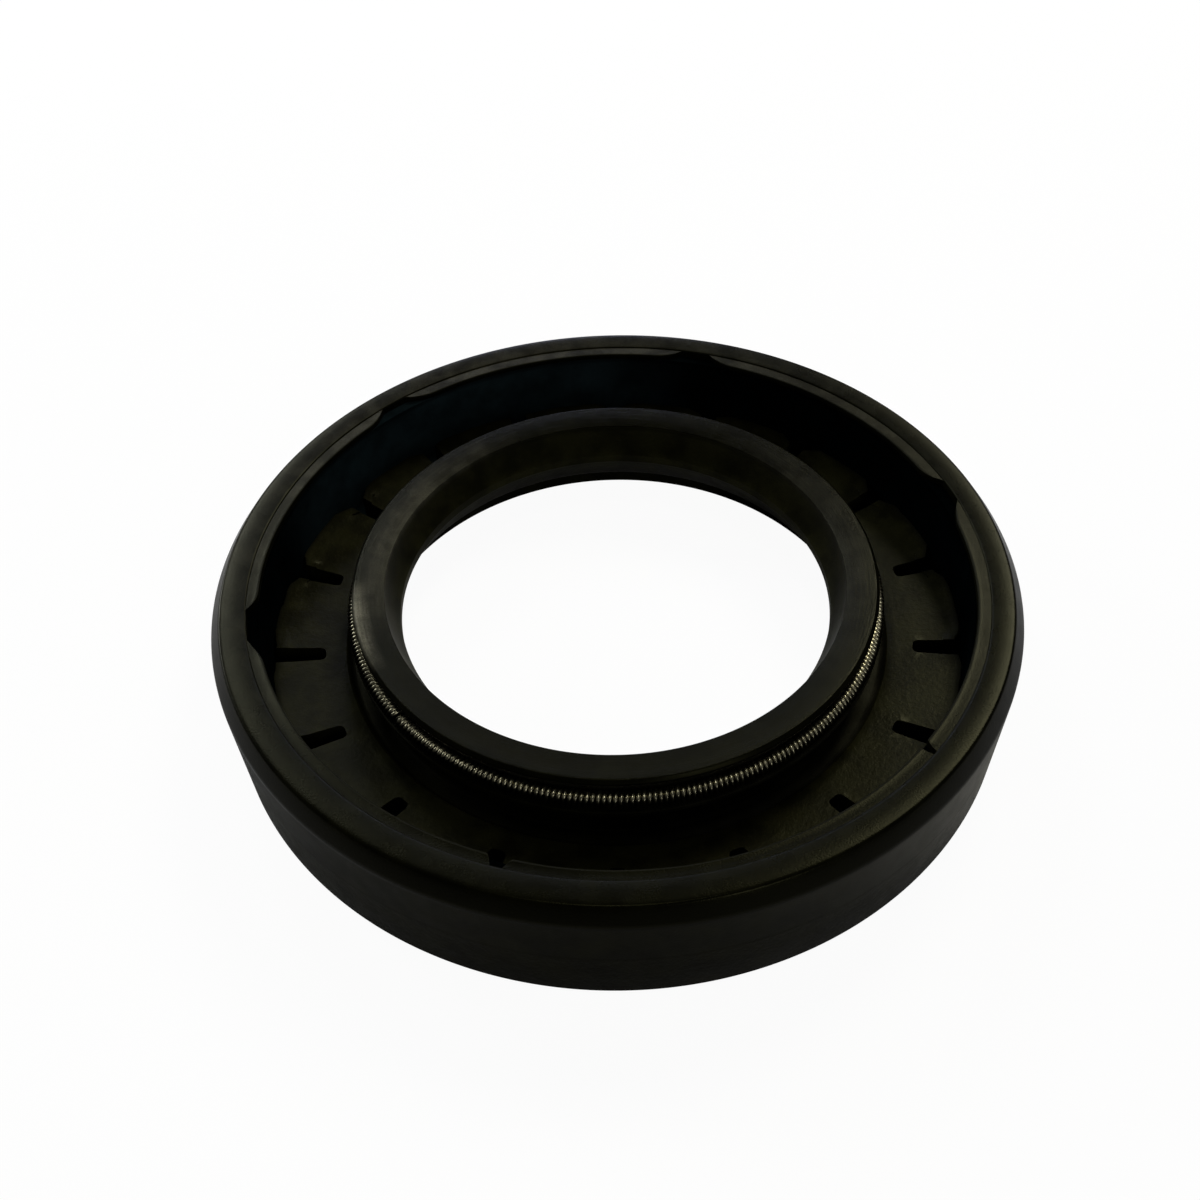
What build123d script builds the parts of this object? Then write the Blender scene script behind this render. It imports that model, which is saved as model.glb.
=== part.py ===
"""Radial shaft seal: a rubber moulding on an L-section steel case, with a garter spring.

Lengths are millimetres. The seal lies on its base face, the XY plane, with its axis along +Z
and the spring side up. Its origin is the centre of the base face.
"""
from build123d import *
import math
import os

os.makedirs("parts", exist_ok=True)

# ---- nominal sizes
shaft_diameter = 35.0
housing_bore = 62.0
seal_width = 10.0

# ---- steel case
cover_thickness = 2.5  # rubber between the housing and the case's wall
base_cover = 1.0  # rubber under the flange
case_sheet = 1.0
case_bend = 0.8  # inner radius of the bend
end_cover = 0.4  # rubber over the wall's end
flange_cover = 0.45  # rubber round the flange's inner edge

# ---- outside and rim of the moulding
lead_in_height = 1.16
lead_in_width = 0.85
heel_chamfer = 0.5
rim_fall = 0.23  # the rim slopes inwards by this much
lobe_step = 0.07  # the lobes lie this far below the rim
lobe_fall = 0.18

# ---- gaps between the lobes
gap_count = 6
gap_phase = 13.4  # degrees
gap_half_width = 1.25  # at the rim
gap_half_mouth = 3.7  # at the case's bare wall
gap_half_waist = 2.05  # where its flanks turn outwards
gap_waist_depth = 0.39  # from the case's bare wall to the waist

# ---- floor of the moulding, over the flange
floor_cover = 2.05  # at the case's wall
floor_fall = 0.55
floor_edge_radius = 0.15

# ---- slots in the floor
slot_count = 18
slot_phase = 9.3  # degrees
slot_width = 1.0
slot_margin = 1.4  # from the floor's inner edge
slot_corner_radius = 0.25

# ---- sealing lip
lip_interference = 0.8  # free lip under the shaft's diameter
lip_recess = 1.15  # below the rim
lip_height = 2.95  # from the sealing edge to the lip's top
lip_land = 0.7  # narrow band that runs on the shaft
lip_lean = 0.9  # the oil side face widens by this much
lip_hollow = 0.12  # how far the oil side face is hollowed
lip_top_width = 2.3
lip_top_fall = 0.3
lip_corner_radius = 0.12

# ---- air side and web
web_thickness = 1.15
web_angle = 32.0  # degrees from the axis
heel_reach = 3.45  # from the sealing edge out to the base opening
heel_height = 1.1
trough_cover = 0.6  # rubber over the flange at the trough
trough_taper = 0.3
trough_corner_radius = 0.4
neck_radius = 0.5
web_radius = 1.2
heel_corner_radius = 0.4

# ---- garter spring
coil_diameter = 1.4
wire_diameter = 0.36
spring_drop = 2.45  # coil's centre below the lip's top
groove_mouth = 118.0  # degrees, where the groove's upper edge leaves the coil
ledge_reach = 0.75  # of the groove's lower lip, from the coil's centre
ledge_thickness = 0.35
ledge_corner_radius = 0.12
ledge_gap = 1.0  # between the lower lip and the floor's edge
joint_phase = 220.5  # degrees
joint_gap = 0.35

# ---- derived: case
housing_radius = housing_bore / 2
case_outer = housing_radius - cover_thickness
case_inner = case_outer - case_sheet
rim_inner_z = seal_width - rim_fall
lobe_outer_z = rim_inner_z - lobe_step
lobe_inner_z = lobe_outer_z - lobe_fall
case_end_z = lobe_inner_z - end_cover
flange_top_z = base_cover + case_sheet
mouth_x = math.sqrt(case_inner**2 - gap_half_mouth**2)

# ---- derived: lip
edge_radius = (shaft_diameter - lip_interference) / 2
lip_top_z = seal_width - lip_recess
edge_z = lip_top_z - lip_height
land_z = edge_z - lip_land
lip_inner = edge_radius + lip_lean
lip_outer = lip_inner + lip_top_width
lip_inner_z = lip_top_z - lip_top_fall

# ---- derived: spring, centred under the lip's outer edge
coil_radius = coil_diameter / 2
spring_radius = lip_outer
spring_z = lip_top_z - spring_drop
joint_angle = math.degrees(joint_gap / spring_radius)
mouth_r = spring_radius + coil_radius * math.cos(math.radians(groove_mouth))
mouth_z = spring_z + coil_radius * math.sin(math.radians(groove_mouth))

# ---- derived: ledge, web, trough, floor
ledge_radius = spring_radius + ledge_reach
ledge_z = spring_z - coil_radius
ledge_foot_z = ledge_z - ledge_thickness
floor_inner = ledge_radius + ledge_gap
flange_inner = floor_inner - flange_cover
floor_outer_z = flange_top_z + floor_cover
floor_inner_z = floor_outer_z - floor_fall
trough_z = flange_top_z + trough_cover
heel_radius = edge_radius + heel_reach
web_slope = math.tan(math.radians(web_angle))
web_step = web_thickness / math.cos(math.radians(web_angle))
slot_inner = floor_inner + slot_margin
slot_outer = case_inner + case_sheet / 2
neck_z = (ledge_foot_z + trough_z) / 2
neck_r = edge_radius + (land_z - neck_z) * web_slope + web_step
web_foot_r = edge_radius + (land_z - trough_z) * web_slope + web_step
cone_foot_r = edge_radius + (land_z - trough_z) * web_slope

# Steel case: an L-section ring, its flange turned inwards over the base.
with BuildPart() as metal_case:
    with BuildSketch(Plane.XZ):
        with BuildLine():
            FilletPolyline(
                (flange_inner, base_cover),
                (case_outer, base_cover),
                (case_outer, case_end_z),
                (case_inner, case_end_z),
                (case_inner, flange_top_z),
                (flange_inner, flange_top_z),
                radius=[0, case_bend + case_sheet, 0, 0, case_bend, 0],
                close=True,
            )
        make_face()
    revolve(axis=Axis.Z)
metal_case.part.label = "metal_case"
export_step(metal_case.part, "parts/metal_case.step")

# One gap between two lobes, seen from above: narrow at the rim, flaring to the bare wall.
with BuildSketch() as gap_outline:
    with BuildLine():
        Polyline(
            (case_outer, gap_half_width),
            (housing_radius, gap_half_width),
            (housing_radius, -gap_half_width),
            (case_outer, -gap_half_width),
        )
        ThreePointArc(
            (case_outer, -gap_half_width),
            (case_inner + gap_waist_depth, -gap_half_waist),
            (mouth_x, -gap_half_mouth),
        )
        Polyline(
            (mouth_x, -gap_half_mouth),
            (case_inner - case_sheet, -gap_half_mouth),
            (case_inner - case_sheet, gap_half_mouth),
            (mouth_x, gap_half_mouth),
        )
        ThreePointArc(
            (mouth_x, gap_half_mouth),
            (case_inner + gap_waist_depth, gap_half_waist),
            (case_outer, gap_half_width),
        )
    make_face()

# Rubber moulding. Its section runs from the lip's top over the flank, the spring groove,
# the web, the trough, the floor, the bare wall, the rim, the outside and the base, then up
# the air side to the sealing edge.
with BuildPart() as rubber_body:
    with BuildSketch(Plane.XZ):
        with BuildLine():
            FilletPolyline(
                (lip_inner, lip_inner_z),
                (lip_outer, lip_top_z),
                (mouth_r, mouth_z),
                radius=[lip_corner_radius],
            )
            ThreePointArc(
                (mouth_r, mouth_z),
                (spring_radius - coil_radius, spring_z),
                (spring_radius, ledge_z),
            )
            FilletPolyline(
                (spring_radius, ledge_z),
                (ledge_radius, ledge_z),
                (ledge_radius, ledge_foot_z),
                (neck_r, neck_z),
                (web_foot_r, trough_z),
                (floor_inner - trough_taper, trough_z),
                (floor_inner, floor_inner_z),
                (case_inner, floor_outer_z),
                (case_inner, lobe_inner_z),
                (case_outer, lobe_outer_z),
                (case_outer, rim_inner_z),
                (housing_radius - lead_in_width, seal_width),
                (housing_radius, seal_width - lead_in_height),
                (housing_radius, heel_chamfer),
                (housing_radius - heel_chamfer, 0),
                (heel_radius, 0),
                (heel_radius, heel_height),
                (cone_foot_r, trough_z),
                (edge_radius, land_z),
                (edge_radius, edge_z),
                radius=[
                    ledge_corner_radius,
                    ledge_corner_radius,
                    neck_radius,
                    trough_corner_radius,
                    trough_corner_radius,
                    floor_edge_radius,
                    0,
                    0,
                    0,
                    0,
                    0,
                    0,
                    0,
                    0,
                    0,
                    heel_corner_radius,
                    web_radius,
                    0,
                ],
            )
            ThreePointArc(
                (edge_radius, edge_z),
                (edge_radius + lip_lean / 2 + lip_hollow, (edge_z + lip_inner_z) / 2),
                (lip_inner, lip_inner_z),
            )
        make_face()
    revolve(axis=Axis.Z)
    add(metal_case.part, mode=Mode.SUBTRACT)
    # gaps that bare the case's end
    with BuildSketch(Plane.XY.offset(case_end_z)):
        with PolarLocations(0, gap_count, start_angle=gap_phase):
            add(gap_outline.sketch)
        Circle(case_outer, mode=Mode.INTERSECT)
    extrude(amount=seal_width - case_end_z, mode=Mode.SUBTRACT)
    # radial slots down to the flange
    with BuildSketch(Plane.XY.offset(flange_top_z)):
        with PolarLocations((slot_inner + slot_outer) / 2, slot_count, start_angle=slot_phase):
            RectangleRounded(slot_outer - slot_inner, slot_width, slot_corner_radius)
    extrude(amount=floor_outer_z - flange_top_z, mode=Mode.SUBTRACT)
rubber_body.part.label = "rubber_body"
export_step(rubber_body.part, "parts/rubber_body.step")

# Garter spring as a ring of the coil's outer size, with the thinner nib where its ends join.
with BuildPart() as garter_spring:
    with BuildSketch(Plane.XZ.rotated((0, 0, joint_phase + joint_angle / 2))):
        with Locations((spring_radius, spring_z)):
            Circle(coil_radius)
    revolve(axis=Axis.Z, revolution_arc=360 - joint_angle)
    with BuildSketch(Plane.XZ.rotated((0, 0, joint_phase - joint_angle / 2))):
        with Locations((spring_radius, spring_z)):
            Circle(coil_radius - wire_diameter)
    revolve(axis=Axis.Z, revolution_arc=joint_angle)
garter_spring.part.label = "garter_spring"
export_step(garter_spring.part, "parts/garter_spring.step")
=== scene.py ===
import math

import bpy
import numpy as np
from mathutils import Matrix


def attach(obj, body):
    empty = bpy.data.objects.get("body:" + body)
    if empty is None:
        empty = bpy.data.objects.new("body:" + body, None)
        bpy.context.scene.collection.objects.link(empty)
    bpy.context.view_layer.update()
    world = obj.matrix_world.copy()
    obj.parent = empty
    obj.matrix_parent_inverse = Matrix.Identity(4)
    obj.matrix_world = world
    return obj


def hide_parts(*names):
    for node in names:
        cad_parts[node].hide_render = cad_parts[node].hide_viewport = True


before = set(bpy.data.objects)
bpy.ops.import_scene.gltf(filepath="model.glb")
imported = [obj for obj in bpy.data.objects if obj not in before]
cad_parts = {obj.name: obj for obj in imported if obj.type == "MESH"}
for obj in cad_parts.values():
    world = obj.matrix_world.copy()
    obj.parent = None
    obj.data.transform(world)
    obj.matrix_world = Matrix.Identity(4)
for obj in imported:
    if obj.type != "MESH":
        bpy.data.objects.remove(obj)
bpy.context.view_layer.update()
mm = 0.001


def wrapFaces(rows, columns):
    # quads of a grid that closes on itself both ways: corner (i, j) joins (i + 1, j) and (i, j + 1);
    # a section that runs clockwise gives faces that point outwards
    i, j = np.meshgrid(np.arange(rows), np.arange(columns), indexing="ij")
    iNext, jNext = (i + 1) % rows, (j + 1) % columns
    return np.stack([i * columns + j, iNext * columns + j,
                     iNext * columns + jNext, i * columns + jNext], -1).reshape(-1, 4)


def putMesh(name, points, faces, sharpAngle=35):
    # points (n, 3) in millimetres and quads (m, 4) go into a mesh in whole arrays
    mesh = bpy.data.meshes.new(name)
    mesh.vertices.add(len(points))
    mesh.vertices.foreach_set("co", (points * mm).astype(np.float32).ravel())
    mesh.loops.add(faces.size)
    mesh.loops.foreach_set("vertex_index", faces.astype(np.int32).ravel())
    mesh.polygons.add(len(faces))
    mesh.polygons.foreach_set("loop_start", np.arange(0, faces.size, 4, dtype=np.int32))
    mesh.update(calc_edges=True)
    mesh.validate()
    mesh.polygons.foreach_set("use_smooth", np.ones(len(mesh.polygons), bool))
    mesh.set_sharp_from_angle(angle=math.radians(sharpAngle))
    piece = bpy.data.objects.new(name, mesh)
    bpy.context.scene.collection.objects.link(piece)
    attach(piece, "root")
    return piece


def roundedPath(knots, steps=4):
    # each knot is (r, z, radius); a corner becomes an arc between its two tangent points,
    # swept as the quadratic curve through them with the corner as its control point
    knots = np.array(knots, float)
    here, before, after = knots[:, :2], np.roll(knots[:, :2], 1, 0), np.roll(knots[:, :2], -1, 0)
    inward, onward = before - here, after - here
    inLength = np.linalg.norm(inward, axis=1, keepdims=True)
    outLength = np.linalg.norm(onward, axis=1, keepdims=True)
    inward, onward = inward / inLength, onward / outLength
    half = np.arccos(np.clip((inward * onward).sum(1, keepdims=True), -1, 1)) / 2
    cut = np.minimum(knots[:, 2:] / np.tan(half), 0.48 * np.minimum(inLength, outLength))
    start, end = here + inward * cut, here + onward * cut
    t = np.linspace(0, 1, steps)[None, :, None]
    curve = (1 - t) ** 2 * start[:, None] + 2 * t * (1 - t) * here[:, None] + t ** 2 * end[:, None]
    keep = np.ones(curve.shape[:2], bool)
    keep[knots[:, 2] == 0, 1:] = False
    return curve[keep], np.repeat(np.arange(len(knots)), keep.sum(1))


def ringPoints(r, z, angle):
    # x = r cos(angle), y = r sin(angle), and z as it is
    return np.stack([r * np.cos(angle), r * np.sin(angle), z], -1).reshape(-1, 3)


def facing(angle, side):
    # 1 towards one side, given in degrees, falling as the cosine to 0 a quarter turn away
    return np.clip(np.cos(angle - math.radians(side)), 0, 1)


def wander(angle, seed, waves=(2, 9), count=5):
    # a closed wavy value round the ring, about -1 to 1: a sum of cosines of whole wave numbers
    rng = np.random.default_rng(seed)
    number = rng.integers(waves[0], waves[1] + 1, count)
    phase = rng.uniform(0, 2 * np.pi, count)
    return np.cos(np.multiply.outer(angle, number) + phase).sum(-1) / math.sqrt(count) / 1.4


# millimetres and degrees; a corner of the section is (r, height)
rubber = {
    "lipEdge": 17.1, "lipEdgeHeight": 5.9, "lipLand": 0.7, "lipHollow": 0.12,
    "lipTopInner": (18.0, 8.55), "lipTopOuter": (20.25, 8.85), "lipBrow": (20.52, 8.6), "browDrop": 0.25,
    "coilCentre": (20.42, 6.75), "coilRadius": 0.7, "grooveMouth": 118,
    "ledge": 21.05, "ledgeThickness": 0.35,
    "neck": (19.319, 3.975), "webFoot": (20.181, 2.6), "troughFoot": (21.5, 2.6),
    "floorInner": (21.8, 3.2), "floorOuter": (27.5, 4.0), "floorRows": (22.6, 23.1, 24.1, 24.8, 25.5, 26.1),
    "floorLean": (0.1, 185),  # how much higher its outer edge lies, and on which side
    "padLeast": 26.15, "padWaves": ((0.12, 4, (5, 46), 9), (0.05, 9, (90, 200), 7)),  # size, then wander's
    # how far the pads stop short at a slot's side, within limits, and how far from it that fades;
    # then where it is more: size, side, how narrowly
    "padCut": 0.15, "padCutLimits": (0.1, 1.4), "padCutFade": 1.5,
    "padCutMore": ((0.9, 40, 2), (0.9, 155, 12)),
    "slotCount": 18, "slotPhase": 9.3, "slotWidth": 1.2, "slotFlare": 0.04, "slotInner": 23.6,
    "slotShift": (0.2, 330),  # how much further out the slots begin, and on which side
    "slotCorner": 0.35, "slotFade": 0.8, "slotBottom": 1.95,
    "gapCount": 6, "gapPhase": 13.4, "gapHalfWidth": 1.25, "gapWaist": (27.86, 2.05), "gapMouth": 3.7,
    # one value for each gap: its narrow part's place, its turn in degrees, its width as a share
    "gapShift": (0.3, 0, 0, -0.35, 0, -0.2),
    "gapTurn": (0, 0, 0, 0, 0.6, 4.4),
    "gapScale": (1, 1, 1, 1, 0.25, 0.14),
    "caseInner": 27.5, "caseOuter": 28.5, "caseEnd": 9.12, "insideSteel": 0.25,
    "lobeInnerHeight": 9.56, "lobeOuterHeight": 9.67, "lobeLeast": 0.03,
    "lobeFront": (0.07, 0.7),  # in front, how much higher at the rim and how much more level
    "lobeWaver": (0.03, 3, (3, 20)),  # size of the inner edge's waves, then wander's
    "lobeReach": (0.2, 225),  # how much further in the lobes reach, and on which side
    "creaseShift": (0.3, 230),  # the same for the line between lobes and rim
    "rimInnerHeight": 9.77, "rimCrown": 1.6, "rimOuter": (30.15, 10.0), "chamferStart": (30.45, 9.59),
    "shoulder": (31.0, 8.84), "wallRows": (8.4, 6.2, 3.2), "heelChamfer": 0.5,
    "baseRows": (29.0, 27.0, 25.0, 23.0), "baseInner": 20.55, "heelHeight": 1.1, "coneFoot": (18.725, 2.6),
    "columns": 576,
}

# how light (1 is the plain rubber) and how rough each part of the section is; the lightness is partly
# painted shade: the slots' bottoms, the pads' rounded edges at the wall's foot and the chamfer are darker
# for the shade that falls there
finishAndShade = {
    "land": (1.6, 0.4), "face": (1.1, 0.4), "lipTop": (0.3, 0.24), "lipRim": (0.3, 0.28), "flank": (0.3, 0.4),
    "groove": (0.3, 0.5), "ledge": (0.4, 0.6), "web": (0.4, 0.6), "trough": (0.4, 0.5),
    "floor": (1.3, 0.33), "padEdge": (0.5, 0.6), "slot": (0.1, 0.7), "hidden": (0.3, 0.6),
    "lobe": (0.3, 0.26), "lobeSide": (0.3, 0.5), "crease": (0.3, 0.4), "rimInner": (0.4, 0.28),
    "rim": (0.3, 0.26), "chamfer": (0.04, 0.36), "wall": (0.5, 0.38), "base": (1.0, 0.4), "air": (1.0, 0.4),
}

# stretches round the ring: parts, where round the ring each is strongest and how many degrees it
# reaches to either side, how much painted sheen lies there, and how much rougher the rubber is.
# The sheen is pale colour painted where these parts gleam in the light; on the lip's outer edge it is
# a painted highlight
paintedSheenAndRoughness = [
    (("lobe",), 118, 100, 5.3, 0.0),
    (("lobe",), 355, 40, 1.5, 0.0),
    (("rim", "rimInner"), 125, 90, 2.8, 0.0),
    (("lipTop",), 160, 45, 4.5, 0.0),
    (("lipTop",), 10, 50, 1.5, 0.0),
    (("lipTop",), 262, 125, 0.0, 0.26),
    (("ledge", "web", "trough"), 340, 75, 1.8, 0.0),
    # a painted highlight along the lip's outer edge on one side
    (("lipRim",), 197, 14, 22.0, 0.0),
    (("wall",), 228, 60, 0.0, 0.16),
]

# what share of the floor's columns each zone of the section uses; the rest are the rim's columns
floorShare = {"floor": 1, "slotted": 1, "pad": 1, "tuck": 1, "rim": 0, "lobeSide": 0, "lobeTop": 0,
              "baseOuter": 0.33, "baseInner": 0.66}


def slotColumns(radius, d):
    # angles of the floor's columns at each radius: eight follow a slot's straight sides, where
    # sin(angle) = half width / radius, two lie on its banks, the others share what is left
    period = 2 * np.pi / d["slotCount"]
    across = np.array([-1, -0.92, -0.75, -0.4, 0.4, 0.75, 0.92, 1])
    spare = d["columns"] // d["slotCount"] - len(across) - 2
    share = np.arange(1, spare + 1) / (spare + 1)
    onSlot = np.r_[0, across, 0, 0 * share]
    onBank = np.r_[-1, 0 * across, 1, 1 - 2 * share]
    onward = np.r_[0, 0 * across, 0, period * share]
    centre = math.radians(d["slotPhase"]) + period * np.arange(d["slotCount"])
    outwards = np.clip(radius, d["slotInner"], d["floorOuter"][0]) - d["slotInner"]
    halfWidth = d["slotWidth"] / 2 + d["slotFlare"] * outwards
    side = np.arcsin(halfWidth / radius)[:, None, None]
    bank = np.arcsin((halfWidth + 0.03) / radius)[:, None, None]
    angle = side * onSlot + bank * onBank + onward + centre[:, None]
    return angle.reshape(len(radius), -1), np.tile(onSlot != 0, d["slotCount"])


def gapColumns(d):
    # angles of the rim's columns, and the radius of the lobe's inner edge on each: across a gap
    # the edge is at the case's outside, then it follows a circle's arc out to the bare wall
    perGap = d["columns"] // d["gapCount"]
    period = 2 * np.pi / d["gapCount"]
    narrowEnd, waist = np.array([d["caseOuter"], d["gapHalfWidth"]]), np.array(d["gapWaist"])
    mouth = np.array([math.sqrt(d["caseInner"] ** 2 - d["gapMouth"] ** 2), d["gapMouth"]])
    # the circle through these three, from the perpendicular bisectors of its two chords
    chords = np.array([waist - narrowEnd, mouth - waist])
    middles = np.array([narrowEnd + waist, waist + mouth]) / 2
    centre = np.linalg.solve(chords, (chords * middles).sum(1))
    ends = np.array([narrowEnd, mouth]) - centre
    arc = np.linspace(*np.unwrap(np.arctan2(ends[:, 1], ends[:, 0])), 12)
    size = np.linalg.norm(ends[0])
    armX, armY = centre[0] + size * np.cos(arc), centre[1] + size * np.sin(arc)
    narrow = np.linspace(-0.98, 0.98, 5) * d["gapHalfWidth"]
    x = np.concatenate([armX[::-1], np.full(5, d["caseOuter"]), armX])
    y = np.concatenate([-armY[::-1], narrow, armY])
    gap, r = np.arctan2(y, x), np.hypot(x, y)
    # the lobe's columns are even between one gap's mouth and the next
    scale, turn = np.array(d["gapScale"])[:, None], np.radians(d["gapTurn"])[:, None]
    lobeStart = gap[-1] * scale + turn
    lobeEnd = period - gap[-1] * np.roll(scale, -1, 0) + np.roll(turn, -1, 0)
    spare = perGap - len(gap)
    lobe = lobeStart + (lobeEnd - lobeStart) * np.arange(1, spare + 1) / (spare + 1)
    # the narrow part of each gap sits a little to one side, its mouth stays
    narrowness = np.clip((r - d["caseInner"]) / 0.7, 0, 1)
    shift = np.array(d["gapShift"])[:, None] / d["caseOuter"] * narrowness
    centres = math.radians(d["gapPhase"]) + period * np.arange(d["gapCount"])[:, None]
    angle = np.concatenate([gap * scale + turn + shift, lobe], 1) + centres
    edge = np.tile(np.concatenate([r, np.full(spare, d["caseInner"])]), d["gapCount"])
    return angle.ravel(), np.minimum(edge, d["caseOuter"] - d["lobeLeast"])


def rubberSection(d):
    # the section's knots, clockwise from the sealing edge: r, height, corner radius, zone, finish.
    # On pad rows r is counted from the pad's edge; on lobe rows it is a share of the lobe's width,
    # from its inner edge; on lobeTop rows the height is counted from the lobe's top
    top, out, brow = d["lipTopInner"], d["lipTopOuter"], d["lipBrow"]
    edge = (d["lipEdge"], d["lipEdgeHeight"])
    lipMiddle = ((top[0] + out[0]) / 2, (top[1] + out[1]) / 2)
    # the oil side's face is straight from edge to top, less a parabola that hollows it
    s = np.linspace(0.2, 0.8, 4)
    face = [(edge[0] + (top[0] - edge[0]) * a + 4 * a * (1 - a) * d["lipHollow"],
             edge[1] + (top[1] - edge[1]) * a, 0, "floor", "face") for a in s]
    # the groove is an arc round the coil, from its mouth down to its lowest point
    (cr, cz), rho = d["coilCentre"], d["coilRadius"]
    arc = np.radians(np.linspace(d["grooveMouth"], 270, 12))
    groove = [(cr + rho * math.cos(a), cz + rho * math.sin(a), 0, "floor", "groove") for a in arc]
    ledgeTop = cz - rho
    # the floor rises evenly; two rows close together stand where the slots begin
    inner, outer = d["floorInner"], d["floorOuter"]
    slope = (outer[1] - inner[1]) / (outer[0] - inner[0])
    rows = sorted([*d["floorRows"], d["slotInner"] - 0.015, d["slotInner"] + 0.015])
    floor = [(r, inner[1] + (r - inner[0]) * slope, 0, "slotted" if r > d["slotInner"] else "floor", "floor")
             for r in rows]
    # the pads round over at their edges: across from the edge, and down
    pad = [(across, outer[1] - down, 0, "pad", name) for across, down, name in (
        (-0.95, 0.13, "floor"), (-0.5, 0.06, "floor"), (-0.2, 0.01, "padEdge"),
        (-0.07, 0, "padEdge"), (0, 0.07, "padEdge"), (0.03, 0.3, "padEdge"))]
    lobe = [(share, -down, 0, "lobeTop", name) for share, down, name in (
        (0, 0.06, "lobeSide"), (0.02, 0.02, "lobeSide"), (0.06, 0, "lobeSide"), (0.2, 0, "lobe"),
        (0.45, 0, "lobe"), (0.7, 0, "lobe"), (0.9, 0, "lobe"), (0.96, 0, "crease"))]
    # the rim rises outwards, ever less: its fall goes with a power of the distance from its outer edge
    span, drop = d["rimOuter"][0] - d["caseOuter"], d["rimOuter"][1] - d["rimInnerHeight"]
    rim = [(d["rimOuter"][0] - span * a, d["rimOuter"][1] - drop * a ** d["rimCrown"], 0, "rim", name)
           for a, name in ((0.93, "rimInner"), (0.78, "rimInner"), (0.6, "rim"), (0.4, "rim"), (0.2, "rim"))]
    base = [(r, 0, 0, name, "base")
            for r, name in zip(d["baseRows"], ("rim", "baseOuter", "baseInner", "floor"))]
    outside, behindWall = d["shoulder"][0], outer[0] + d["insideSteel"]
    return [
        (*edge, 0.04, "floor", "land"), *face,
        (*top, 0.05, "floor", "lipTop"), (*lipMiddle, 0, "floor", "lipTop"),
        (*out, 0.15, "floor", "lipRim"), (*brow, 0.12, "floor", "flank"),
        (brow[0] - 0.05, brow[1] - d["browDrop"], 0, "floor", "flank"), *groove,
        (d["ledge"], ledgeTop, 0.12, "floor", "ledge"),
        (d["ledge"], ledgeTop - d["ledgeThickness"], 0.12, "floor", "ledge"),
        (*d["neck"], 0.5, "floor", "web"), (*d["webFoot"], 0.4, "floor", "trough"),
        (*d["troughFoot"], 0.4, "floor", "trough"), (*inner, 0.15, "floor", "floor"), *floor, *pad,
        (0.03, 2.3, 0, "pad", "padEdge"), (0.05, d["slotBottom"], 0, "pad", "hidden"),
        (behindWall, d["slotBottom"], 0, "tuck", "hidden"),
        (behindWall, d["caseEnd"] - 0.5, 0, "rim", "hidden"),
        (0.03, d["caseEnd"] - 0.07, 0, "lobeSide", "lobeSide"),
        (0, d["caseEnd"] + 0.05, 0, "lobeSide", "lobeSide"), *lobe,
        (d["caseOuter"] - 0.01, d["rimInnerHeight"] - 0.025, 0, "rim", "crease"),
        (d["caseOuter"] + 0.03, d["rimInnerHeight"] + 0.005, 0, "rim", "rimInner"), *rim,
        (*d["rimOuter"], 0.45, "rim", "rim"), (*d["chamferStart"], 0, "rim", "chamfer"),
        (*d["shoulder"], 0.6, "rim", "chamfer"), *[(outside, z, 0, "rim", "wall") for z in d["wallRows"]],
        (outside, d["heelChamfer"], 0.2, "rim", "wall"), (outside - d["heelChamfer"], 0, 0.2, "rim", "base"),
        *base, (d["baseInner"], 0, 0.1, "floor", "base"),
        (d["baseInner"], d["heelHeight"], 0.4, "floor", "air"), (*d["coneFoot"], 1.2, "floor", "air"),
        (edge[0], edge[1] - d["lipLand"], 0.05, "floor", "land"),
    ]


def rubberColumns(radius, share, d):
    # every row's angles: share times the floor's columns plus the rest of the rim's columns, both
    # counted from the middle of a lobe so that columns of one number lie near each other
    start = math.radians(d["gapPhase"]) - np.pi / d["gapCount"]
    slotAngle, inSlot = slotColumns(radius, d)
    turn = (slotAngle[0] - start) % (2 * np.pi) + start - slotAngle[0]
    order = np.argsort(slotAngle[0] + turn)
    slotAngle, inSlot = (slotAngle + turn)[:, order], inSlot[order]
    gapAngle, lobeEdge = gapColumns(d)
    gapAngle = start + (gapAngle - start) % (2 * np.pi)
    order = np.argsort(gapAngle)
    gapAngle, lobeEdge = gapAngle[order], lobeEdge[order]
    return share * slotAngle + (1 - share) * gapAngle, slotAngle, inSlot, gapAngle, lobeEdge


def toneRoughnessAndSheen(angle, part):
    # tone, roughness and painted sheen at each point: the part's own, plus each stretch's sheen and roughness
    # times (cos(distance round the ring) - cos(reach)) / (1 - cos(reach))
    own = np.array([finishAndShade[name] for name in part]).T[:, :, None]
    tone, rough = np.broadcast_to(own, (2, *angle.shape)).copy()
    paintedSheen = np.zeros(angle.shape)
    for parts, side, reach, pale, coarse in paintedSheenAndRoughness:
        limit = math.cos(math.radians(reach))
        near = np.clip((np.cos(angle - math.radians(side)) - limit) / (1 - limit), 0, 1)
        near = np.isin(part, parts)[:, None] * near
        paintedSheen, rough = paintedSheen + pale * near, rough + coarse * near
    return tone, rough, paintedSheen


def padEdge(angle, d):
    # radius where each pad of the floor ends: the wall's, plus waves, less a cut at each slot's side
    # that fades evenly with the distance from it
    period = 2 * np.pi / d["slotCount"]
    across = (angle - math.radians(d["slotPhase"]) + period / 2) % period - period / 2
    fromSlot = np.abs(across) * d["floorOuter"][0] - d["slotWidth"] / 2
    cut = d["padCut"] + sum(size * facing(angle, side) ** power for size, side, power in d["padCutMore"])
    cut = np.clip(1 - fromSlot / d["padCutFade"], 0, 1) * np.clip(cut, *d["padCutLimits"])
    waves = sum(size * wander(angle, *how) for size, *how in d["padWaves"])
    return np.clip(d["floorOuter"][0] + 0.02 + waves - cut, d["padLeast"], d["floorOuter"][0])


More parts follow.
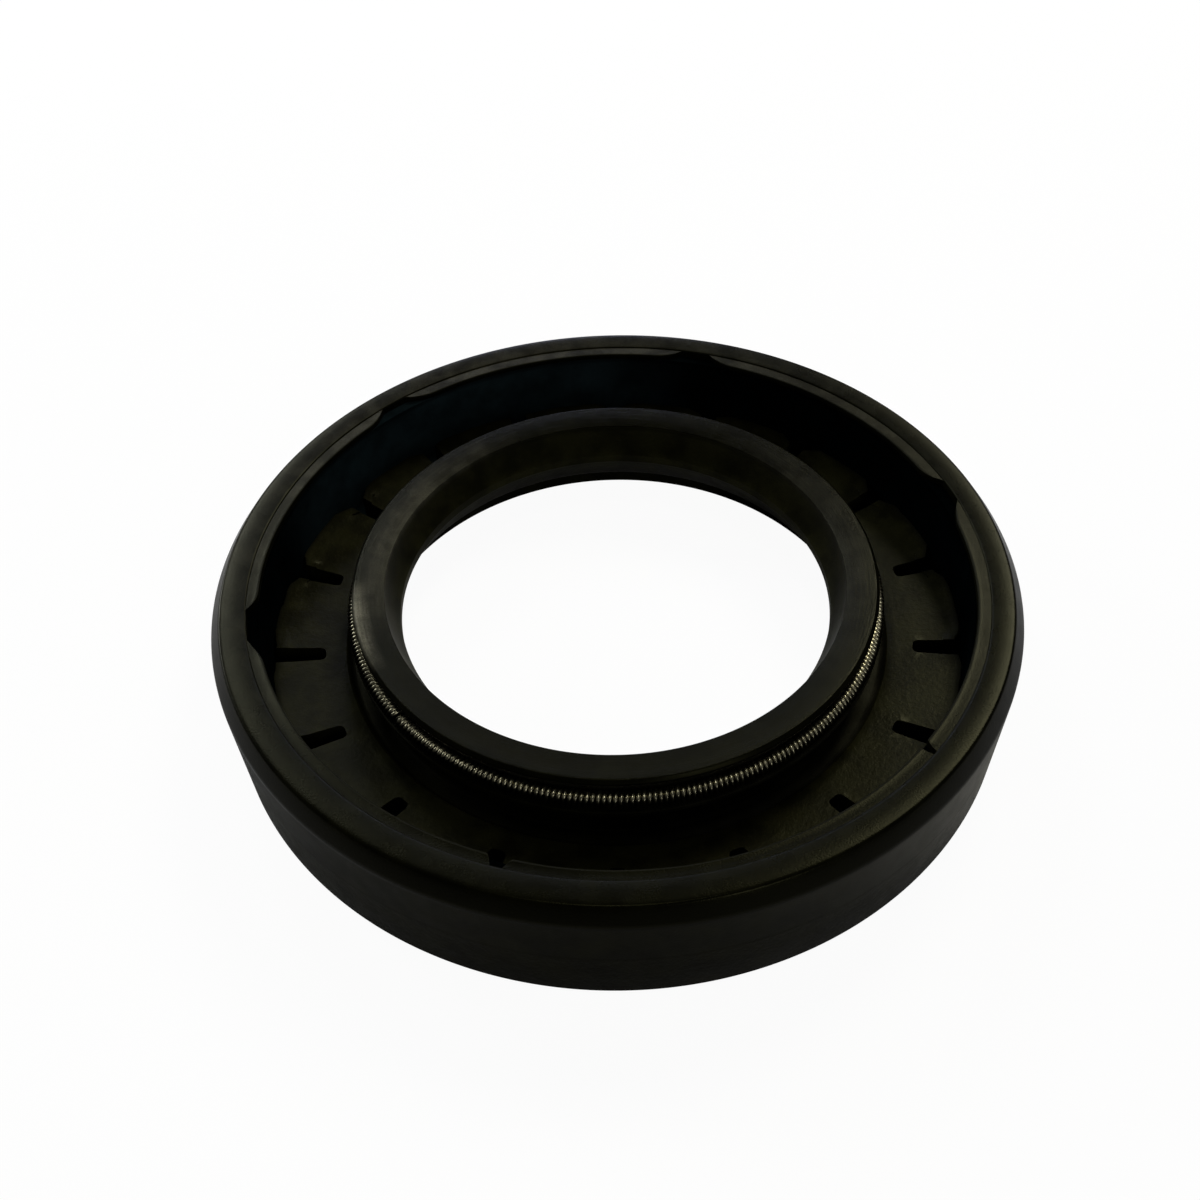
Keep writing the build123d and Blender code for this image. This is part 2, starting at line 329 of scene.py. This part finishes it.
def shapeFloor(r, z, angle, slotAngle, inSlot, zone, d):
    # the floor's height gains lean x share of the way out x cos(angle - side)
    inner, outer = d["floorInner"], d["floorOuter"]
    upper = (z > 3) & np.isin(zone, ("floor", "slotted", "pad"))  # rows over the flange
    lean, side = d["floorLean"]
    wayOut = np.clip((r - inner[0]) / (outer[0] - inner[0]), 0, 1)
    wayOut = np.where(zone == "pad", 1, wayOut) * upper
    z = z + lean * wayOut * np.cos(angle - math.radians(side))
    r = np.where(zone == "pad", r + padEdge(angle, d), r)
    # the rows where the slots begin bend outwards at their corners, by a circle's rise
    period = 2 * np.pi / d["slotCount"]
    across = (slotAngle - math.radians(d["slotPhase"]) + period / 2) % period - period / 2
    aside = np.abs(across) * r - (d["slotWidth"] / 2 - d["slotCorner"])
    rise = d["slotCorner"] * (1 - np.sqrt(1 - np.clip(aside / d["slotCorner"], 0, 1) ** 2))
    fade = np.clip(1 - (aside - d["slotCorner"]) / d["slotFade"], 0, 1)
    shift, side = d["slotShift"]
    moved = (np.abs(r - d["slotInner"]) < 0.05) * (rise * fade + shift * np.cos(angle - math.radians(side)))
    slope = (outer[1] - inner[1]) / (outer[0] - inner[0])
    r, z = r + moved, z + np.where(upper, moved * slope, 0)
    # in a slot the rows go down to just under the flange's surface, so the flange shows
    cut = np.isin(zone, ("slotted", "pad")) & inSlot
    z[cut] = d["slotBottom"]
    return r, z, cut


def shapeLobes(r, z, angle, gapAngle, lobeEdge, zone, d):
    # a lobe row's r = inner edge + its share of the width; the inner edge wavers where it
    # follows the bare wall, and lies further in on one side, as the line with the rim does
    reach, side = d["lobeReach"]
    size, *how = d["lobeWaver"]
    onWall = np.clip((d["caseInner"] + 0.4 - lobeEdge) / 0.4, 0, 1)
    edge = lobeEdge + (size * wander(gapAngle, *how) - reach * facing(gapAngle, side) ** 4) * onWall
    inward, side = d["creaseShift"]
    crease = d["caseOuter"] - inward * facing(gapAngle, side)
    edge = np.minimum(edge, crease - d["lobeLeast"])
    lobeR = edge + r * (crease - edge)
    # the rows of the rim's top follow the line, less and less towards the rim's outer edge
    onTop = (zone == "rim") * (z > d["chamferStart"][1])
    follow = np.clip((d["rimOuter"][0] - r) / (d["rimOuter"][0] - d["caseOuter"]), 0, 1)
    r = r - onTop * follow * inward * facing(angle, side)
    # the lobes' tops rise outwards; in front, where sin(angle) is least, they are more level and
    # run up into the rim
    inShare = np.clip(1 - (lobeR - d["caseInner"]) / (d["caseOuter"] - d["caseInner"]), 0, 1)
    lift, level = d["lobeFront"]
    front = np.clip(np.cos(gapAngle + np.pi / 2) + 0.35, 0, 1)
    fall = d["lobeOuterHeight"] - d["lobeInnerHeight"]
    top = d["lobeOuterHeight"] - fall * inShare * (1 - level * front)
    top = top + lift * front * np.clip((0.6 - inShare) / 0.6, 0, 1) ** 0.7
    z = np.where(zone == "lobeTop", top + z, z)
    return np.where(np.isin(zone, ("lobeSide", "lobeTop")), lobeR, r), z


def rubberPoints(d):
    # the rounded section runs round the ring, then its floor and lobes are shaped
    knots = rubberSection(d)
    path, owner = roundedPath([knot[:3] for knot in knots])
    zone, part = np.array([knot[3:] for knot in knots])[owner].T
    share = np.array([floorShare[name] for name in zone])[:, None]
    radius = np.where(zone == "pad", d["floorOuter"][0], np.maximum(path[:, 0], d["lipEdge"]))
    angle, slotAngle, inSlot, gapAngle, lobeEdge = rubberColumns(radius, share, d)
    tone, rough, paintedSheen = toneRoughnessAndSheen(angle, part)
    zone = zone[:, None]
    r, z = (np.broadcast_to(value, angle.shape) for value in (path[:, :1], path[:, 1:]))
    r, z, cut = shapeFloor(r, z, angle, slotAngle, inSlot, zone, d)
    # the slots' bottoms are painted near black, as painted shade
    tone[cut] = finishAndShade["slot"][0]
    r, z = shapeLobes(r, z, angle, gapAngle, lobeEdge, zone, d)
    return ringPoints(r, z, angle), angle.shape, {"tone": tone, "rough": rough, "paintedSheen": paintedSheen}


points, shape, looks = rubberPoints(rubber)
rubberBody = putMesh("rubberBody", points, wrapFaces(*shape))
for name, values in looks.items():
    # one number for each point, for the material to read
    layer = rubberBody.data.attributes.new(name, "FLOAT", "POINT")
    layer.data.foreach_set("value", values.astype(np.float32).ravel())
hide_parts("rubber_body")
print("rubber moulding:", shape, "grid")


# an L section, in millimetres
case = {"inner": 27.5, "sheet": 1.0, "end": 9.12, "flangeTop": 2.0, "flangeInner": 21.6, "bend": 0.8,
        "endRound": 0.08, "columns": 576}


def casePoints(d):
    # the L section with its rounded bend and ends, turned round the axis
    outer, bottom = d["inner"] + d["sheet"], d["flangeTop"] - d["sheet"]
    knots = [(d["flangeInner"], bottom, 0.06), (d["flangeInner"], d["flangeTop"], 0.06),
             (24.5, d["flangeTop"], 0), (d["inner"], d["flangeTop"], d["bend"]), (d["inner"], 6.0, 0),
             (d["inner"], d["end"], d["endRound"]), (outer, d["end"], d["endRound"]), (outer, 6.0, 0),
             (outer, bottom, d["bend"] + d["sheet"]), (24.5, bottom, 0)]
    path, owner = roundedPath(knots, 8)
    angle = np.linspace(0, 2 * np.pi, d["columns"], endpoint=False)
    r, z, angle = np.broadcast_arrays(path[:, :1], path[:, 1:], angle)
    return ringPoints(r, z, angle), r.shape


points, shape = casePoints(case)
steelCase = putMesh("steelCase", points, wrapFaces(*shape))
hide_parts("metal_case")
print("steel case:", shape, "grid")


# a wound wire: ring, height, coil, wire and turns in millimetres, joint, gap, nib and taper in degrees
spring = {"ring": 20.42, "height": 6.75, "coil": 0.7, "wire": 0.36, "turns": 337, "joint": 220.5,
          "gap": 0.9, "nib": 4.0, "nibShare": 0.62, "taper": 1.1, "perTurn": 14, "sides": 6}


def springPoints(d):
    # a wire wound round a circle that is itself a ring: the wire's centre runs at the coil's mean
    # radius round the circle, and the last turns shrink to the nib that screws into the first ones
    whole, tail, taper = math.radians(360 - d["gap"]), math.radians(d["nib"]), math.radians(d["taper"])
    steps = int(d["turns"] * d["perTurn"] * (whole + tail) / (2 * np.pi))
    along = np.linspace(0, whole + tail, steps)
    winding = along * d["turns"]
    mean = d["coil"] - d["wire"] / 2
    shrink = 1 - (1 - d["nibShare"]) * np.clip((along - whole + taper) / taper, 0, 1) ** 1.5
    theta = math.radians(d["joint"] + d["gap"] / 2) + along
    outward = np.stack([np.cos(theta), np.sin(theta), 0 * theta], -1)
    upward = np.array([0, 0, 1.0])
    arm = np.cos(winding)[:, None] * outward + np.sin(winding)[:, None] * upward
    centre = d["ring"] * outward + d["height"] * upward + (mean * shrink)[:, None] * arm
    # round the wire: centre + half its thickness x (cos psi x arm + sin psi x side)
    ahead = np.gradient(centre, axis=0)
    ahead /= np.linalg.norm(ahead, axis=1, keepdims=True)
    arm = arm - (arm * ahead).sum(1, keepdims=True) * ahead
    arm /= np.linalg.norm(arm, axis=1, keepdims=True)
    side = np.cross(ahead, arm)
    psi = np.arange(d["sides"]) * 2 * np.pi / d["sides"]
    ring = np.cos(psi)[None, :, None] * arm[:, None] + np.sin(psi)[None, :, None] * side[:, None]
    return (centre[:, None] + d["wire"] / 2 * ring).reshape(-1, 3), steps


def tubeFaces(steps, sides):
    # quads along an open tube, where corner (i, j) joins (i, j + 1) and (i + 1, j), and two quads
    # to close each six-sided end
    i, j = np.meshgrid(np.arange(steps - 1), np.arange(sides), indexing="ij")
    k = (j + 1) % sides
    wall = np.stack([i * sides + j, i * sides + k, (i + 1) * sides + k, (i + 1) * sides + j], -1)
    last = (steps - 1) * sides
    caps = np.array([[3, 2, 1, 0], [5, 4, 3, 0],
                     [last, last + 1, last + 2, last + 3], [last, last + 3, last + 4, last + 5]])
    return np.concatenate([wall.reshape(-1, 4), caps])


points, steps = springPoints(spring)
garterSpring = putMesh("garterSpring", points, tubeFaces(steps, spring["sides"]), 80)
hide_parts("garter_spring")
print("garter spring:", steps, "rings of wire")


def newMaterial(name):
    # a material with its own nodes: itself, its tree and its shader
    material = bpy.data.materials.new(name)
    material.use_nodes = True
    return material, material.node_tree, material.node_tree.nodes["Principled BSDF"]


def node(tree, kind, **settings):
    # a node of one kind, with its settings
    made = tree.nodes.new(kind)
    for name, value in settings.items():
        setattr(made, name, value)
    return made


def calc(tree, operation, *values):
    # one Math node; each value is a number or another node's output
    made = node(tree, "ShaderNodeMath", operation=operation)
    for slot, value in zip(made.inputs, values):
        if isinstance(value, (int, float)):
            slot.default_value = value
        else:
            tree.links.new(value, slot)
    return made.outputs[0]


def spread(tree, value, low, high, toLow=0.0, toHigh=1.0, smooth=True):
    # value from low..high carried to toLow..toHigh, along a smooth step or a straight line
    made = node(tree, "ShaderNodeMapRange", interpolation_type="SMOOTHSTEP" if smooth else "LINEAR")
    tree.links.new(value, made.inputs["Value"])
    for name, number in (("From Min", low), ("From Max", high), ("To Min", toLow), ("To Max", toHigh)):
        made.inputs[name].default_value = number
    return made.outputs[0]


def noise(tree, where, scale, detail=2.0, rough=0.5):
    # cloudy noise, mostly 0.3 to 0.7, with scale clouds to the metre or to the vector's own unit
    made = node(tree, "ShaderNodeTexNoise")
    tree.links.new(where, made.inputs["Vector"])
    made.inputs["Scale"].default_value = scale
    made.inputs["Detail"].default_value = detail
    made.inputs["Roughness"].default_value = rough
    return made.outputs["Fac"]


def splitPlace(tree, where):
    # x, y and z of a vector
    parts = node(tree, "ShaderNodeSeparateXYZ")
    tree.links.new(where, parts.inputs[0])
    return parts.outputs


def radiusAndHeight(tree, where):
    # radius = square root of x x + y y, and height = z, both in millimetres
    x, y, z = splitPlace(tree, where)
    squares = calc(tree, "ADD", calc(tree, "MULTIPLY", x, x), calc(tree, "MULTIPLY", y, y))
    return calc(tree, "MULTIPLY", calc(tree, "SQRT", squares), 1000.0), calc(tree, "MULTIPLY", z, 1000.0)


def ringLines(tree, where, radius, pace):
    # a vector of the radius and of pace x cos and sin of the angle, so noise on it runs in lines
    # round the ring
    x, y, z = splitPlace(tree, where)
    turn = calc(tree, "ARCTAN2", y, x)
    lines = node(tree, "ShaderNodeCombineXYZ")
    tree.links.new(radius, lines.inputs[0])
    tree.links.new(calc(tree, "MULTIPLY", calc(tree, "COSINE", turn), pace), lines.inputs[1])
    tree.links.new(calc(tree, "MULTIPLY", calc(tree, "SINE", turn), pace), lines.inputs[2])
    return lines.outputs[0]


def towards(tree, where, side):
    # how far a point lies from the axis towards one side, in millimetres: x cos(side) + y sin(side)
    dot = node(tree, "ShaderNodeVectorMath", operation="DOT_PRODUCT")
    tree.links.new(where, dot.inputs[0])
    dot.inputs[1].default_value = (math.cos(math.radians(side)) / mm, math.sin(math.radians(side)) / mm, 0)
    return dot.outputs["Value"]


def bump(tree, height, depth, strength=1.0, under=None):
    # the normal over a height of 0 to 1 that stands for a depth in millimetres
    made = node(tree, "ShaderNodeBump")
    made.inputs["Distance"].default_value = depth * mm
    made.inputs["Strength"].default_value = strength
    tree.links.new(height, made.inputs["Height"])
    if under is not None:
        tree.links.new(under, made.inputs["Normal"])
    return made.outputs[0]


def paint(tree, shader, channels):
    # three numbers become the shader's colour
    tint = node(tree, "ShaderNodeCombineColor")
    for channel, value in zip(tint.inputs, channels):
        tree.links.new(value, channel)
    tree.links.new(tint.outputs[0], shader.inputs["Base Color"])


# sizes, depths, heights and radii in millimetres; scales are clouds to the metre
rubberLook = {
    # the second colour is that of the painted sheen and highlights laid on stretches of the ring
    "colour": (0.0038, 0.0037, 0.0012), "paintedSheen": (0.0038, 0.0036, 0.0027),
    "specular": 0.04, "gloss": (1.0, 0.98, 0.5), "uneven": 0.02, "unevenScale": 700,
    "patchSize": 2.4, "patches": (0.55, 1.5), "grainSize": 0.13, "grain": (0.8, 1.2), "grainDepth": 0.006,
    "pebbleSize": 0.35, "pebbleDepth": 0.02, "pebbleBelow": (4.6, 5.0),  # on the floor
    # fine lines round the lip's trimmed top
    "turningScale": 5.5, "turningPace": 1.2, "turningDepth": 0.04, "streaks": 0.35,
    "turningAbove": (8.35, 8.5), "turningWithin": (20.2, 20.4),
}

material, tree, shader = newMaterial("nitrileRubber")
where = node(tree, "ShaderNodeTexCoord").outputs["Object"]
radius, height = radiusAndHeight(tree, where)
tone, rough, paintedSheen = (node(tree, "ShaderNodeAttribute", attribute_name=name).outputs["Fac"] for name in looks)
patches = noise(tree, where, 1000 / rubberLook["patchSize"], 3)
patches = spread(tree, patches, 0.35, 0.65, *rubberLook["patches"])
grain = noise(tree, where, 1000 / rubberLook["grainSize"], 2)
grain = spread(tree, grain, 0.3, 0.7, *rubberLook["grain"])
onLip = calc(tree, "MULTIPLY", spread(tree, height, *rubberLook["turningAbove"]),
             spread(tree, radius, *rubberLook["turningWithin"], 1.0, 0.0))
turning = ringLines(tree, where, radius, rubberLook["turningPace"])
turning = noise(tree, turning, rubberLook["turningScale"], 4, 0.7)
streak = spread(tree, turning, 0.3, 0.7, -rubberLook["streaks"], rubberLook["streaks"], False)
streak = calc(tree, "ADD", calc(tree, "MULTIPLY", onLip, streak), 1.0)
mottle = calc(tree, "MULTIPLY", calc(tree, "MULTIPLY", patches, grain), streak)
# colour = mottle x (tone x plain rubber + painted sheen x its pale colour)
paint(tree, shader, [
    calc(tree, "MULTIPLY", mottle,
         calc(tree, "ADD", calc(tree, "MULTIPLY", tone, plain), calc(tree, "MULTIPLY", paintedSheen, sheenColour)))
    for plain, sheenColour in zip(rubberLook["colour"], rubberLook["paintedSheen"])])
uneven = noise(tree, where, rubberLook["unevenScale"], 2)
uneven = spread(tree, uneven, 0.3, 0.7, -rubberLook["uneven"], rubberLook["uneven"])
tree.links.new(calc(tree, "ADD", rough, uneven), shader.inputs["Roughness"])
shader.inputs["Specular IOR Level"].default_value = rubberLook["specular"]
shader.inputs["Specular Tint"].default_value = (*rubberLook["gloss"], 1)
pebble = calc(tree, "MULTIPLY", noise(tree, where, 1000 / rubberLook["pebbleSize"], 2),
              spread(tree, height, *rubberLook["pebbleBelow"], 1.0, 0.0))
normal = bump(tree, pebble, rubberLook["pebbleDepth"])
normal = bump(tree, grain, rubberLook["grainDepth"], 1.0, normal)
normal = bump(tree, calc(tree, "MULTIPLY", onLip, turning), rubberLook["turningDepth"], 0.6, normal)
tree.links.new(normal, shader.inputs["Normal"])
rubberBody.data.materials.append(material)

# the coat holds painted light and shade: full on the side it faces, a share of that as painted shade
# on the far side and at its end in the gaps
caseLook = {
    "colour": (0.0068, 0.0122, 0.0142), "specular": 0.0,
    "cloudAndShade": (0.6, 1.4), "cloudScale": 260, "roughness": (0.42, 0.6), "roughScale": 900,
    "paintedLightToward": 122, "paintedLightFrom": (17.5, 25.5), "paintedShadeShare": 0.08, "end": 0.5, "endFrom": (8.6, 9.0),
    "coatDepth": 0.01, "coatScale": 1400,
}

material, tree, shader = newMaterial("bondedSteel")
where = node(tree, "ShaderNodeTexCoord").outputs["Object"]
radius, height = radiusAndHeight(tree, where)
cloudAndShade = spread(tree, noise(tree, where, caseLook["cloudScale"], 4, 0.6), 0.3, 0.7, *caseLook["cloudAndShade"])
# painted shade: darker towards the case's end, which shows in the gaps
cloudAndShade = calc(tree, "MULTIPLY", cloudAndShade, spread(tree, height, *caseLook["endFrom"], 1.0, caseLook["end"]))
# painted light and shade: lighter on one side of the ring, dark on the other
paintedLight = towards(tree, where, caseLook["paintedLightToward"])
paintedLight = spread(tree, paintedLight, *caseLook["paintedLightFrom"], caseLook["paintedShadeShare"], 1.0)
cloudAndShade = calc(tree, "MULTIPLY", cloudAndShade, paintedLight)
paint(tree, shader, [calc(tree, "MULTIPLY", cloudAndShade, value) for value in caseLook["colour"]])
rough = spread(tree, noise(tree, where, caseLook["roughScale"], 3), 0.3, 0.7, *caseLook["roughness"])
tree.links.new(rough, shader.inputs["Roughness"])
shader.inputs["Specular IOR Level"].default_value = caseLook["specular"]
normal = bump(tree, noise(tree, where, caseLook["coatScale"], 3), caseLook["coatDepth"])
tree.links.new(normal, shader.inputs["Normal"])
steelCase.data.materials.append(material)

# sides is how light the wire is painted on the far side and on the side it is turned to, as painted light
# and shade; crest is a height over the coil's middle, from and to, and how light the wire is painted below
# and above it: painted shade below, a painted highlight on the coil's top
springLook = {
    "colour": (0.15, 0.14, 0.095), "roughness": (0.21, 0.35), "roughScale": 4000,
    "wearAndLight": (0.75, 1.2), "wornScale": 1500,
    "paintedLightToward": 205, "paintedLightFrom": (8.0, 19.5), "sides": (1.7, 0.75),
    "paintedCrest": (0.28, 0.6, 0.22, 1.6), "lean": 0.3,
}

material, tree, shader = newMaterial("springSteel")
where = node(tree, "ShaderNodeTexCoord").outputs["Object"]
radius, height = radiusAndHeight(tree, where)
wearAndLight = spread(tree, noise(tree, where, springLook["wornScale"], 3), 0.35, 0.65, *springLook["wearAndLight"])
# painted light and shade: the wire lighter on one side of the ring than on the other
paintedLight = towards(tree, where, springLook["paintedLightToward"])
paintedLight = spread(tree, paintedLight, *springLook["paintedLightFrom"], *springLook["sides"])
wearAndLight = calc(tree, "MULTIPLY", wearAndLight, paintedLight)
# height over the middle, for the painted highlight, leaning to the back: height + lean x how far back of the
# coil's circle
behind = calc(tree, "SUBTRACT", 1.0, calc(tree, "DIVIDE", spring["ring"], radius))
behind = calc(tree, "MULTIPLY", towards(tree, where, 90), behind)
above = calc(tree, "SUBTRACT", height, spring["height"])
above = calc(tree, "ADD", above, calc(tree, "MULTIPLY", behind, springLook["lean"]))
# painted highlight on the top of each turn, painted shade below it
wearAndLight = calc(tree, "MULTIPLY", wearAndLight, spread(tree, above, *springLook["paintedCrest"]))
paint(tree, shader, [calc(tree, "MULTIPLY", wearAndLight, value) for value in springLook["colour"]])
rough = spread(tree, noise(tree, where, springLook["roughScale"], 2), 0.3, 0.7, *springLook["roughness"])
tree.links.new(rough, shader.inputs["Roughness"])
shader.inputs["Metallic"].default_value = 1
garterSpring.data.materials.append(material)
print("materials: rubber, bonded steel, spring steel")


# millimetres and radians; aim is in pixels of a frame 1200 wide, with the focal length as its third
view = {"focalLength": 34.696, "sensor": 36, "distance": 89.886, "elevation": 0.7698007,
        "roll": -0.0241917, "target": (0, 0, 10), "aim": (13.90584, -45.51499, 1156.543)}


def cameraMatrix(d):
    # the camera looks at the target from the -Y side; the target then lands at aim, a point off the
    # middle, by the shortest turn from that line of sight to the camera's axis: with k the cross
    # product matrix of the turn's axis, turn = 1 + k + k k / (1 + cosine)
    e = d["elevation"]
    ahead = np.array([0, math.cos(e), -math.sin(e)])
    right = np.cross(ahead, [0, 0, 1])
    right /= np.linalg.norm(right)
    up = np.cross(right, ahead)
    c, s = math.cos(d["roll"]), math.sin(d["roll"])
    sight = np.stack([c * right + s * up, -s * right + c * up, ahead], 1)
    x, y, f = d["aim"]
    aim = np.array([x, -y, f]) / math.sqrt(x * x + y * y + f * f)
    axis = np.cross([0, 0, 1], aim)
    k = np.array([[0, -axis[2], axis[1]], [axis[2], 0, -axis[0]], [-axis[1], axis[0], 0]])
    turn = np.eye(3) + k + k @ k / (1 + aim[2])
    axes = sight @ turn.T
    matrix = np.eye(4)
    matrix[:3, 0], matrix[:3, 1], matrix[:3, 2] = axes[:, 0], axes[:, 1], -axes[:, 2]
    matrix[:3, 3] = (np.array(d["target"]) - d["distance"] * ahead) * mm
    return Matrix(matrix.tolist())


camera = bpy.data.objects.new("camera", bpy.data.cameras.new("camera"))
camera.data.lens = view["focalLength"]
camera.data.sensor_width = view["sensor"]
camera.data.clip_start = 0.005
camera.matrix_world = cameraMatrix(view)
bpy.context.scene.collection.objects.link(camera)
bpy.context.scene.camera = camera


# metres, but shadeRadius in millimetres; glow is how much of the floor is plain white to the eye
stage = {"floorSize": 3.0, "glow": 0.95, "shadeRadius": (33, 56), "floorColour": 0.8,
         "world": 0.12, "horizon": 0.15, "lampDistance": 0.6}

mesh = bpy.data.meshes.new("floor")
h = stage["floorSize"] / 2
mesh.from_pydata([(-h, -h, 0), (h, -h, 0), (h, h, 0), (-h, h, 0)], [], [(0, 1, 2, 3)])
floor = bpy.data.objects.new("floor", mesh)
bpy.context.scene.collection.objects.link(floor)


def seenRays(tree, glossShare):
    # 1 for the eye, and glossShare for reflections and what is seen through glass
    path = node(tree, "ShaderNodeLightPath")
    gloss = calc(tree, "ADD", path.outputs["Is Glossy Ray"], path.outputs["Is Transmission Ray"])
    gloss = calc(tree, "MULTIPLY", gloss, glossShare)
    return calc(tree, "MINIMUM", calc(tree, "ADD", path.outputs["Is Camera Ray"], gloss), 1.0)


# the floor is white to the eye and in gloss, and keeps a share of its lit colour for the soft shadow;
# under the object and at its foot gloss finds the lit colour alone, as it is covered and shaded there
material = bpy.data.materials.new("paleFloor")
material.use_nodes = True
tree = material.node_tree
tree.nodes.clear()
output = node(tree, "ShaderNodeOutputMaterial")
diffuse = node(tree, "ShaderNodeBsdfDiffuse")
diffuse.inputs["Color"].default_value = (*[stage["floorColour"]] * 3, 1)
radius, height = radiusAndHeight(tree, node(tree, "ShaderNodeTexCoord").outputs["Object"])
seen = seenRays(tree, spread(tree, radius, *stage["shadeRadius"]))
mix = node(tree, "ShaderNodeMixShader")
tree.links.new(calc(tree, "MULTIPLY", seen, stage["glow"]), mix.inputs[0])
tree.links.new(diffuse.outputs[0], mix.inputs[1])
tree.links.new(node(tree, "ShaderNodeEmission").outputs[0], mix.inputs[2])
tree.links.new(mix.outputs[0], output.inputs["Surface"])
mesh.materials.append(material)

# the world is a faint grey to the object, white to the eye, and white in gloss near the horizon
world = bpy.data.worlds.new("studio")
bpy.context.scene.world = world
world.use_nodes = True
tree = world.node_tree
backdrop = tree.nodes["Background"]
backdrop.inputs["Color"].default_value = (1, 1, 1, 1)
upward = splitPlace(tree, node(tree, "ShaderNodeTexCoord").outputs["Object"])[2]
seen = seenRays(tree, spread(tree, upward, 0.0, stage["horizon"], 1.0, 0.0))
tree.links.new(spread(tree, seen, 0.0, 1.0, stage["world"], 1.0, False), backdrop.inputs["Strength"])

# soft round lamps, given by azimuth and elevation in degrees, size in metres, watts and colour
lamps = {
    "backRight": (59, 47, 0.22, 2.00, (1.0, 0.97, 0.84)),
    "backLeft": (115, 41, 0.16, 0.87, (0.95, 0.98, 1.0)),
    "back": (93, 32, 0.14, 0.35, (0.87, 0.95, 1.5)),
    "left": (144, 22, 0.16, 1.30, (0.96, 0.99, 1.0)),
    "front": (300, 30, 0.16, 0.50, (1.0, 1.0, 0.98)),
    "top": (270, 84, 0.14, 0.35, (1.0, 0.99, 0.9)),
}
for name, (azimuth, elevation, size, power, colour) in lamps.items():
    lamp = bpy.data.lights.new(name, "AREA")
    lamp.shape = "DISK"
    lamp.size = size
    lamp.energy = power
    lamp.color = colour
    holder = bpy.data.objects.new(name, lamp)
    # a lamp shines along its own -Z, so its Z points away from the object
    a, e = math.radians(azimuth), math.radians(elevation)
    z = np.array([math.cos(e) * math.cos(a), math.cos(e) * math.sin(a), math.sin(e)])
    x = np.cross([0, 0, 1], z)
    x /= np.linalg.norm(x)
    matrix = np.eye(4)
    matrix[:3, :] = np.stack([x, np.cross(z, x), z, stage["lampDistance"] * z], 1)
    holder.matrix_world = Matrix(matrix.tolist())
    bpy.context.scene.collection.objects.link(holder)
print("stage:", len(lamps), "lamps")

bpy.context.scene.view_settings.view_transform = "Standard"
